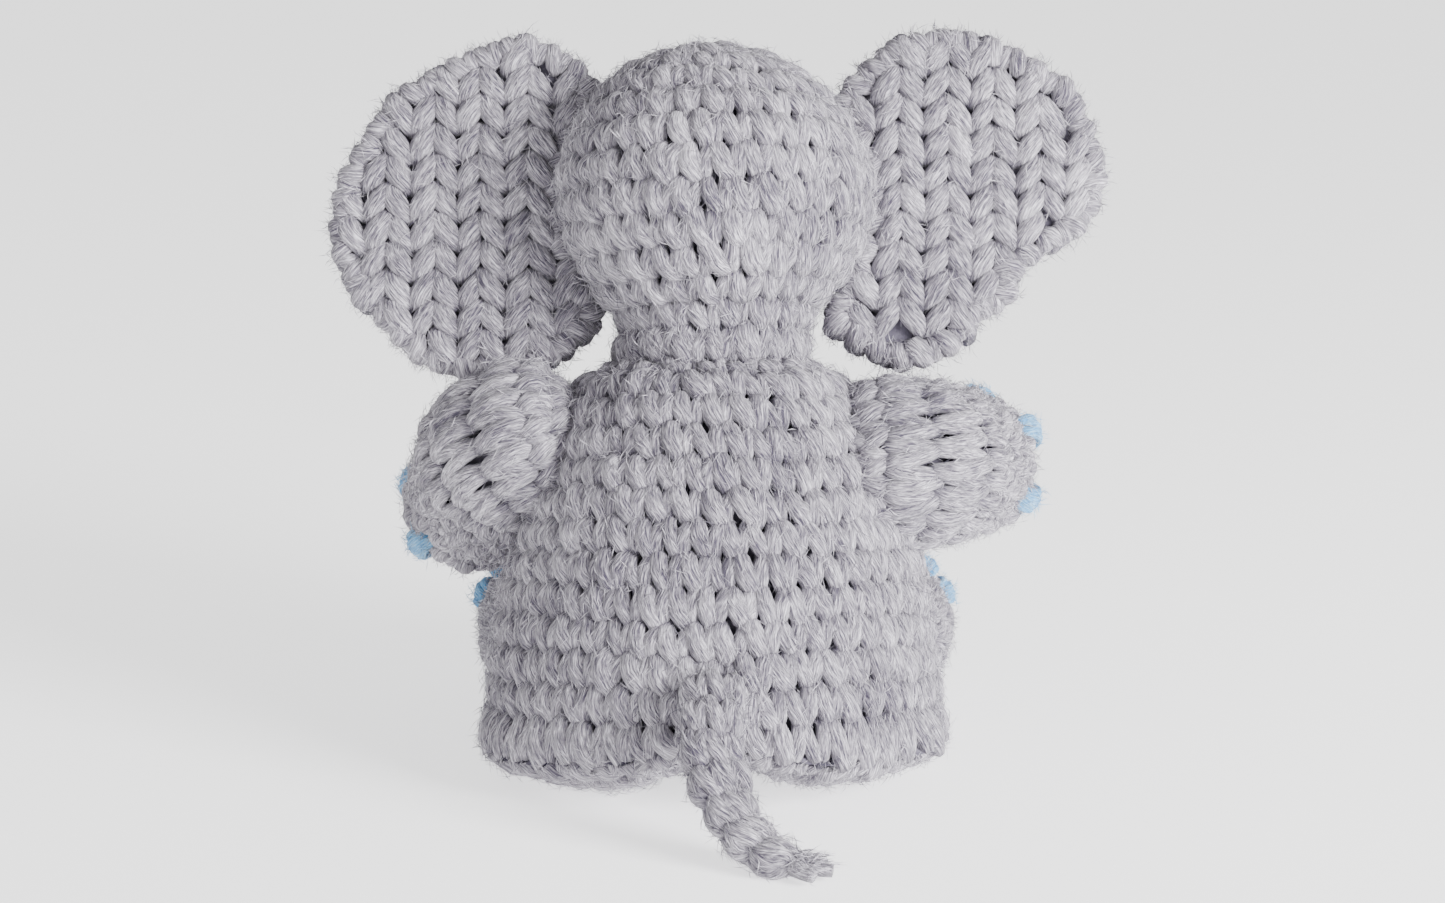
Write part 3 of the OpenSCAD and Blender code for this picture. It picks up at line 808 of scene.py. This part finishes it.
def toeStrands(place, endR, length, angles):
    # each toe is a few wraps of yarn over the rim of the limb's end
    rim, wraps, gap, slope = size["edge"], toeLook["wraps"], toeLook["gap"], toeLook["slant"]
    across = np.linspace(-1, 1, len(toeLook["rise"]))
    sets = []
    for angle in angles:
        k = (np.arange(wraps) - (wraps - 1) / 2) * gap + rng.normal(0, 0.1, wraps)
        psi = np.radians(np.linspace(*toeLook["turns"], len(across)))[None] + rng.normal(0, 0.05, (wraps, 1))
        lift = (rim + np.array(toeLook["rise"])[None] + rng.normal(0, 0.12, (wraps, 1))
                - toeLook["arch"] * (k[:, None] / gap) ** 2)
        r = endR - rim + lift * np.cos(psi)
        z = length - rim + lift * np.sin(psi)
        slant = slope * across[None] * rng.normal(1, 0.4, (wraps, 1))
        y = k[:, None] * (1 - toeLook["pinch"] * np.abs(across))[None] + slant
        a = math.radians(angle)
        spin = np.array([[math.cos(a), -math.sin(a), 0], [math.sin(a), math.cos(a), 0], [0, 0, 1]])
        c = np.stack([r, y, z], axis=-1) @ spin.T
        n = np.stack([np.cos(psi), 0 * psi, np.sin(psi)], axis=-1) @ spin.T
        m = np.array(place)[:3, :3]
        sets.append(dict(centres=placed(c, place), normals=unit(n @ m.T),
                         radii=toeLook["radius"] * legTaper[None] * rng.normal(1, 0.05, (wraps, 1)),
                         depth=np.zeros(r.shape)))
    return joined(sets)


# how far each kind bends in towards its seam and which way, the length of its root inside the torso, and
# between which distances from the hinge its cover passes from the torso to the limb
limbLook = dict(arm=dict(bendTo=58, inward=-1, root=8, cross=(-2, 8)),
                leg=dict(bendTo=0.1, inward=0, root=12, cross=(0, 8)))
limbYarn = dict(bendR=10, pitch=4.4, rowH=4.8, thick=0.92, fibres=24, stuffedTo=0.84)


def limb(kind, side, place, ballR, endR, length, toes):
    name = body = f"{kind}_{sideName[side]}"
    look, bendR = limbLook[kind], limbYarn["bendR"]
    rootAt = length + bendR * math.radians(look["bendTo"]) + look["root"]
    path = wayBack(length, bendR, look["bendTo"], look["inward"] * side, look["root"])
    profile = limbProfile(ballR, endR, length, size["edge"], rootAt, look["root"])
    point, reach, radius = sweep(profile, place, 0.3 * side, limbWarp, path)
    blend = ("torso", *(along(place, z) for z in look["cross"]))
    lines = rounds(point, reach, radius, limbYarn["pitch"], limbYarn["rowH"], last=0.99, seat=0.1,
                   thick=limbYarn["thick"])
    crochet(name, lines, body, blend, limbYarn["fibres"])
    crochet(name + "_seam", seamStitches(surfaceOf(point), torsoDepth, seamLook["limb"], reach), "torso")
    skin(name + "_cover_knit", point, body, blend, [f"{kind}_cover_{sideName[side]}"], 36, 40)

    def stuffed(u, v):
        # the filling stops short of the root
        return point(u, limbYarn["stuffedTo"] * v)
    pad(name + "_filling", stuffed, body, [f"{kind}_stuffing_{sideName[side]}"], 1.8, 28, 24)
    wraps = crochet(name + "_toes", toeStrands(place, endR, length, toes), body, None, toeLook["fibres"],
                    (blueYarn, blueFuzz))
    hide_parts(f"toes_{kind}_{sideName[side]}")


print("limbs")
for side in (1, -1):
    limb("arm", side, armPlace(side), size["armD"] / 2, size["armEndD"] / 2, size["armL"],
         [180 - side * size["armToeStep"] * k for k in range(3)])
    legR = size["legD"] / 2 - sewn["legSlim"]
    limb("leg", side, legPlace(side), legR, legR, size["legL"],
         [-side * (size["legToeFirst"] + size["legToeStep"] * k) for k in range(3)])


print("trunk")
trunkLook = dict(root=8, roundTo=4.5, widen=1.6, cross=(3, -7), pitch=4.8, rowH=5.5)


def trunkWay():
    # from the tip up the straight end and round the bend to the seam
    at, centre, heading = [], [], []
    bendR, sweepTo = size["bendR"], math.radians(size["trunkSweep"])
    tip = size["trunkEnd"] + size["trunkD"] / 2
    end = np.array([0, -bendR * math.sin(sweepTo), -bendR + bendR * math.cos(sweepTo)])
    away = np.array([0, -math.cos(sweepTo), -math.sin(sweepTo)])
    for d in np.linspace(tip, 0, 8):
        at.append(tip - d)
        centre.append(end + away * d)
        heading.append(-away)
    for t in np.linspace(sweepTo, 0, 16)[1:]:
        at.append(tip + bendR * (sweepTo - t))
        centre.append(np.array([0, -bendR * math.sin(t), -bendR + bendR * math.cos(t)]))
        heading.append(np.array([0, math.cos(t), math.sin(t)]))
    at.append(at[-1] + trunkLook["root"])
    centre.append(np.array([0, trunkLook["root"], 0.0]))
    heading.append(np.array([0, 1.0, 0]))
    sideway = np.array([[1.0, 0, 0]] * len(at))
    return np.array(at), np.array(centre), np.array(heading), sideway


def trunkProfile(full):
    r = size["trunkD"] / 2 - cover + 0.3
    flat, edge = 2.2, trunkLook["roundTo"]
    points = [(0.4, cover - 0.4)]
    for t in np.radians(np.linspace(0, 90, 12)):
        points.append((flat + (r - flat) * math.sin(t), edge - (edge - cover) * math.cos(t)))
    for s in np.linspace(edge, full, 24)[1:]:
        points.append((r + trunkLook["widen"] * (s / full) ** 2, s))
    return np.array(points)


trunkPath = trunkWay()
trunkPoint, trunkReach, trunkRadius = sweep(trunkProfile(trunkPath[0][-1]), trunkPlace, 0.2, limbWarp,
                                            trunkPath)
trunkBend = ("head", *(tuple(trunkPlace @ Vector((0, y, 0))) for y in trunkLook["cross"]))
trunkLines = rounds(trunkPoint, trunkReach, trunkRadius, trunkLook["pitch"], trunkLook["rowH"], last=0.99)
crochet("trunk", trunkLines, "trunk", trunkBend)
skin("trunk_cover_knit", trunkPoint, "trunk", trunkBend, ["trunk_cover"], 28, 40)
pad("trunk_filling", trunkPoint, "trunk", ["trunk_stuffing"], 1.6, 20, 30)


def headDepth(p):
    q = placed(p, headPlace.inverted())
    return headR - cover - np.linalg.norm(q - np.array([0, 0, headR]), axis=-1)


crochet("trunk_seam", seamStitches(surfaceOf(trunkPoint), headDepth, seamLook["trunk"], trunkReach), "head")

print("ears")
# outlines of the ears: reach from the side of the head, and height over its middle
earEdges = {
    1: [(1.7, 29), (7.3, 31), (13, 29.5), (19.2, 26.8), (24.8, 24), (30.8, 20.6), (35.1, 15), (40.2, 6.6),
        (42.8, -1.9), (42.2, -10.3), (37.5, -18.8), (31.9, -24.4), (26.5, -30), (18, -33), (8, -33.5),
        (0, -30), (-3.4, -27), (-7.5, -21.6), (-3.5, -13), (-0.8, 0), (-3.5, 13), (-7.5, 20.5), (-5.8, 23.5),
        (-3.7, 26)],
    -1: [(3.2, 29), (11, 31.8), (19, 31.8), (26.5, 29), (32.1, 26.3), (36.5, 23), (39.3, 20.6), (42, 15),
         (44.5, 6.6), (42.6, -1.9), (37, -7), (31.7, -10.3), (27.8, -13.5), (26.1, -18.8), (21.2, -21.6),
         (17, -26.5), (10.2, -30), (5.5, -31.3), (1.2, -30), (-3.5, -27.2), (-8, -22.5), (-3.5, -13),
         (-0.8, 0), (-3.5, 12), (-6.7, 17.8), (-2.8, 23.5), (0.2, 26.3)]}
earLegs = [np.array([[-0.46, 0.62, -0.9], [-0.42, 0.34, 0.8], [-0.28, 0.0, 1.4], [-0.12, -0.34, 0.9],
                     [-0.01, -0.66, -0.9]]),
           np.array([[0.46, 0.62, -0.9], [0.42, 0.34, 0.8], [0.28, 0.0, 1.4], [0.13, -0.34, 0.9],
                     [0.03, -0.66, -0.9]])]


# how far the rim and the faces' stitches lie inside the outline, half the sheet's thickness, and its stitches
earLook = dict(down=1.3, rimIn=2.1, half=1.1, sheetHalf=0.8, faceIn=0.6, pitch=5.1, rimTurn=1.2, rimRise=0.62,
               column=9.0, row=5.6, firstColumn=1.0, lean=2.0, radius=1.95, deepest=1.4, fibres=26,
               cross=(1.0, 9.0), sheetMiddle=20.0, sheetEdge=0.44)


def legLines(surface, u, v, du, dv, shape, radius):
    # one leg of a stitch at each u, v
    u, v = u.reshape(-1, 1), v.reshape(-1, 1)
    count = len(u)
    w, h, d = (legWeights @ shape).T
    w = w[None] + rng.normal(0, 0.025, (count, 1))
    h = h[None] * rng.normal(1.0, 0.04, (count, 1)) + rng.normal(0, 0.03, (count, 1))
    d = d[None] + rng.normal(0, 0.15, (count, 1))
    p, n = surface(u + w * du, v + h * dv)
    fat = radius * legTaper[None] * rng.normal(1, 0.05, (count, 1))
    return dict(centres=p + n * d[..., None], normals=n, radii=fat, depth=earLook["deepest"] - d)


def closedCurve(points, samples):
    # a smooth closed line through points, evenly spaced
    p = np.array(points, float)
    n = len(p)
    t = np.arange(n * 24) / 24
    k, f = t.astype(int), (t % 1)[:, None]
    a, b, c, d = (p[(k + j) % n] for j in (-1, 0, 1, 2))
    fine = 0.5 * (2 * b + (c - a) * f + (2 * a - 5 * b + 4 * c - d) * f * f
                  + (3 * b - a - 3 * c + d) * f ** 3)
    step = np.linalg.norm(np.roll(fine, -1, axis=0) - fine, axis=1)
    arc = np.concatenate([[0], np.cumsum(step)])
    at = np.arange(samples) / samples * arc[-1]
    loop = np.vstack([fine, fine[:1]])
    return np.stack([np.interp(at, arc, loop[:, i]) for i in (0, 1)], axis=1), arc[-1]


def insideOf(loop, x, z):
    x0, z0 = loop[:, 0], loop[:, 1]
    x1, z1 = np.roll(x0, -1), np.roll(z0, -1)
    crossing = (z0[None] > z[:, None]) != (z1[None] > z[:, None])
    at = x0 + (z[:, None] - z0) * (x1 - x0) / (z1 - z0 + 1e-12)
    return (crossing & (x[:, None] < at)).sum(axis=1) % 2 == 1


def loopArea(loop):
    x, y = loop[:, 0], loop[:, 1]
    return 0.5 * np.sum(x * np.roll(y, -1) - y * np.roll(x, -1))


def ear(side):
    name = body = "ear_" + sideName[side]
    place = headPlace @ shift(side * headR, -size["earForward"], headR - earLook["down"])
    loop, perimeter = closedCurve(earEdges[side], 400)
    ahead = unit(np.roll(loop, -3, axis=0) - np.roll(loop, 3, axis=0))
    outward = np.stack([ahead[:, 1], -ahead[:, 0]], axis=1)
    if insideOf(loop, (loop[:1] + outward[:1])[:, 0], (loop[:1] + outward[:1])[:, 1])[0]:
        outward *= -1
    clockwise = loopArea(loop) < 0
    spine = loop - outward * earLook["rimIn"]
    half = earLook["half"]

    def bow(x, z):
        # the sheet is not quite flat: its outer edge comes forward, and it waves a little
        return -0.0022 * x * x + 0.9 * np.sin(z * 0.09 + side) * (x / 40) + 0.4 * np.sin(x * 0.22)

    def toWorld(x, y, z):
        return placed(np.stack([side * x, y + bow(x, z), z], axis=-1), place)

    def rimPoint(u, v):
        # u goes round the outline, and v over the rim from the back face to the front face
        k = (u * len(spine)) % len(spine)
        low, part = np.floor(k).astype(int) % len(spine), (k % 1)[..., None]
        c = spine[low] * (1 - part) + spine[(low + 1) % len(spine)] * part
        m = outward[low] * (1 - part) + outward[(low + 1) % len(spine)] * part
        psi = math.pi * (0.5 * earLook["rimTurn"] - earLook["rimTurn"] * v)
        q = c + m * (half * np.cos(psi))[..., None]
        return toWorld(q[..., 0], half * np.sin(psi), q[..., 1])

    # the outline may run either way round, so the rim's normals are turned to point away from the sheet
    rimSurface = surfaceOf(rimPoint)
    share = 0.3
    k = int(share * len(spine))
    spot, spotNormal = rimSurface(np.array([share]), np.array([0.5]))
    wayOut = toWorld(loop[k:k + 1, 0], np.zeros(1), loop[k:k + 1, 1]) - spot
    rimSign = 1.0 if np.sum(spotNormal * wayOut) > 0 else -1.0

    def rim(u, v):
        p, n = rimSurface(u, v)
        return p, n * rimSign

    count = round(perimeter / earLook["pitch"])
    u = (np.arange(count) + 0.5) / count
    sets = []
    for v, rise in ((0.22, earLook["rimRise"]), (0.78, -earLook["rimRise"])):
        sets.append(stitchLines(rim, u, np.full(count, v), 1 / count, rise, clockwise == (side == 1)))
    inner = closedCurve(spine[::4] - outward[::4] * earLook["faceIn"], 300)[0]
    column, row = earLook["column"], earLook["row"]
    for face in (1, -1):
        def facePoint(u, v, face=face):
            x = -face * side * u
            return toWorld(x, half * face + 0 * x, v)
        x = np.arange(-8, 5) * column + earLook["firstColumn"]
        z = np.arange(-8, 8) * row
        xx, zz = (q.reshape(-1) for q in np.meshgrid(x, z))
        for leg, sway in zip(earLegs, (-1, 1)):
            keep = insideOf(inner, xx - face * side * sway * earLook["lean"], zz)
            sets.append(legLines(surfaceOf(facePoint), (-face * side * xx)[keep], zz[keep], column, row, leg,
                                 earLook["radius"]))
    lines = joined(sets)
    bend = ("head", *(tuple(toWorld(np.array([x]), np.zeros(1), np.zeros(1))[0]) for x in earLook["cross"]))
    pieces = crochet(name, lines, body, bend, earLook["fibres"])
    middle = np.array([earLook["sheetMiddle"], 0.0])
    sheetEdge, thin = earLook["sheetEdge"], earLook["sheetHalf"]

    def sheetPoint(u, v):
        # v goes from the middle of one face, round the edge, to the middle of the other
        k = (u * len(spine)) % len(spine)
        low = np.floor(k).astype(int) % len(spine)
        share = np.clip(np.minimum(v, 1 - v) / sheetEdge, 0.02, 1)
        psi = math.pi * (0.5 - np.clip((v - sheetEdge) / (1 - 2 * sheetEdge), 0, 1))
        c = middle + (spine[low] - middle) * share[..., None]
        c = c + outward[low] * (thin * np.cos(psi))[..., None] * (share > 0.99)[..., None]
        return toWorld(c[..., 0], thin * np.sin(psi), c[..., 1])

    def sheetSurface(u, v):
        return sheetPoint(u, v), np.zeros((*u.shape, 3))
    # the ear's dark core sheet is painted shade between its stitches
    core = dress(gridMesh(name + "_sheet", sheetSurface, 100, 40, 0.0), shadedInnerFabric)
    follow(core, body, bend)
    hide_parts(name)
    area = abs(loopArea(spine))


for side in (1, -1):
    ear(side)


print("tail")
tailLook = dict(rows=7, around=6, first=0.08, span=0.86, thin=0.4, taper=1.9, flat=0.42, thick=0.82,
                fibres=22, lowest=1.6)
tuftLook = dict(strands=((-30, 4.5), (-4, 6.0), (26, 4.0)), radius=1.75, fibres=130, lowest=1.5)


def tailWay():
    # the same points as the model's tail
    thick = size["tailT"]
    route = [(0, -3, 1.0), (0, 0, 1.0), (0, 2, 0.95), (0, 7, 0.80), (0, 10, 0.62), (-1, 13, 0.44),
             (-3, 16, 0.27), (-6, 19, 0.12), (-10, 22, 0.03), (-15, 24, 0)]
    p = np.array([(x, y, (share - 1) * (tailRoot.z - thick / 2)) for x, y, share in route], float)
    weights = curveWeights(len(p), 60)
    c = weights @ p
    heading = unit(np.gradient(c, axis=0))
    sideway = unit(np.cross(np.array([0, 0, 1.0]), heading))
    step = np.linalg.norm(np.diff(c, axis=0), axis=1)
    return np.concatenate([[0], np.cumsum(step)]), c, heading, sideway


tailPath = tailWay()
tailLength = tailPath[0][-1]
tailPlace = shift(*tailRoot)
half = size["tailW"] / 2
tailSide = [(half - tailLook["thin"] - tailLook["taper"] * t, 1 + (tailLength - 2) * t)
            for t in np.linspace(0.02, 1, 30)]
tailProfile = np.array([(0.4, 0.1), (half - 1.6, 1.0), *tailSide, (0.4, tailLength)])


def tailLift(p):
    q = p.copy()
    q[..., 2] = np.maximum(q[..., 2], tailLook["lowest"] - tailRoot.z)
    return q


tailPoint = sweep(tailProfile, tailPlace, 0.0, tailLift, tailPath, (1.0, tailLook["flat"]))[0]
tailSurface = surfaceOf(tailPoint)
rows, around, span = tailLook["rows"], tailLook["around"], tailLook["span"]
us, vs = np.meshgrid((np.arange(around) + 0.25) / around,
                     tailLook["first"] + span * (np.arange(rows) + 0.5) / rows)
tailLines = stitchLines(tailSurface, us.reshape(-1), vs.reshape(-1), 1 / around, -span / rows, True)
tailLines["radii"] = tailLines["radii"] * tailLook["thick"]
tailBend = ("torso", tuple(tailRoot + Vector((0, -1, 0))), tuple(tailRoot + Vector((0, 4, -1))))
crochet("tail", tailLines, "tail", tailBend, tailLook["fibres"])
# the tail's dark core is painted shade between its stitches
core = dress(gridMesh("tail_cord_knit", tailSurface, 24, 60, -0.9), shadedInnerFabric)
follow(core, "tail", tailBend)
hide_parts("tail_cord")
tipAt = placed(tailPath[1][-1:], tailPlace)[0]
tipAlong, tipSide = tailPath[2][-1], tailPath[3][-1]
tuft = []
for fan, reach in tuftLook["strands"]:
    t = np.linspace(0, 1, 9)[:, None]
    way = math.cos(math.radians(fan)) * tipAlong + math.sin(math.radians(fan)) * tipSide
    way = unit(way * np.array([1, 1, 0]))
    c = tipAt + tipSide * fan * 0.07 + way * (t * (reach + 3) - 3) + tipSide * 0.5 * np.sin(t * 5 + fan)
    c[:, 2] = np.maximum(tuftLook["lowest"], c[:, 2] - t[:, 0] * 0.6)
    tuft.append(dict(centres=c[None], normals=np.tile([0, 0, 1.0], (1, 9, 1)),
                     radii=tuftLook["radius"] * np.linspace(1.05, 0.7, 9)[None], depth=np.zeros((1, 9))))
strands = crochet("tail_tuft", joined(tuft), "tail", None, tuftLook["fibres"])
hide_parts("tail_tuft")

print("eyes")
for side in ("left", "right"):
    for node, material in (("eye_", eyeMaterial), ("eye_washer_", washerMaterial)):
        slots = nodes[node + side].data.materials
        slots.clear()
        slots.append(material)


print("floor, light and camera")
studio = dict(floor=4.0, glow=1.3, sky=0.64, keySpot=(-0.85, 0.70, 0.38), keyAim=(0, 0.02, 0.07),
              keyPower=34.0, keySize=0.45)
cameraLook = dict(target=(-0.0016, 0.02, 0.0605), reach=0.65, rise=12, halfView=0.1362, sensor=36,
                  clip=(0.05, 20))


def floorAndLight():
    s = Shade("floor", Roughness=0.9)
    place = s.make("ShaderNodeTexCoord", out="Object")
    s.set("Base Color", s.blend(s.noise(place, 2.0, 2.0), (0.93, 0.93, 0.935), (0.97, 0.97, 0.975)))
    s.set("Emission Color", (1, 1, 1, 1))
    s.set("Emission Strength", studio["glow"])
    mesh = bpy.data.meshes.new("floor")
    corners = [(x * studio["floor"], y * studio["floor"], 0) for x, y in ((-1, -1), (1, -1), (1, 1), (-1, 1))]
    mesh.from_pydata(corners, [], [(0, 1, 2, 3)])
    mesh.materials.append(s.material)
    floor = bpy.data.objects.new("floor", mesh)
    bpy.context.scene.collection.objects.link(floor)
    world = bpy.data.worlds.new("studio")
    bpy.context.scene.world = world
    world.use_nodes = True
    sky = world.node_tree.nodes["Background"]
    sky.inputs["Color"].default_value = (1, 1, 1, 1)
    sky.inputs["Strength"].default_value = studio["sky"]
    light = bpy.data.lights.new("key", "AREA")
    light.energy, light.size = studio["keyPower"], studio["keySize"]
    lamp = bpy.data.objects.new("key", light)
    lamp.location = studio["keySpot"]
    aim = Vector(studio["keyAim"]) - Vector(studio["keySpot"])
    lamp.rotation_euler = aim.to_track_quat("-Z", "Y").to_euler()
    bpy.context.scene.collection.objects.link(lamp)


def camera():
    # from behind the elephant and a little above it
    reach, rise = cameraLook["reach"], math.radians(cameraLook["rise"])
    data = bpy.data.cameras.new("camera")
    data.sensor_width = cameraLook["sensor"]
    data.lens = cameraLook["sensor"] / 2 / math.tan(math.atan(cameraLook["halfView"] / reach))
    data.clip_start, data.clip_end = cameraLook["clip"]
    obj = bpy.data.objects.new("camera", data)
    back = Vector((0, math.cos(rise), math.sin(rise)))
    obj.location = Vector(cameraLook["target"]) + back * reach
    obj.rotation_euler = (-back).to_track_quat("-Z", "Y").to_euler()
    bpy.context.scene.collection.objects.link(obj)
    bpy.context.scene.camera = obj


floorAndLight()
camera()
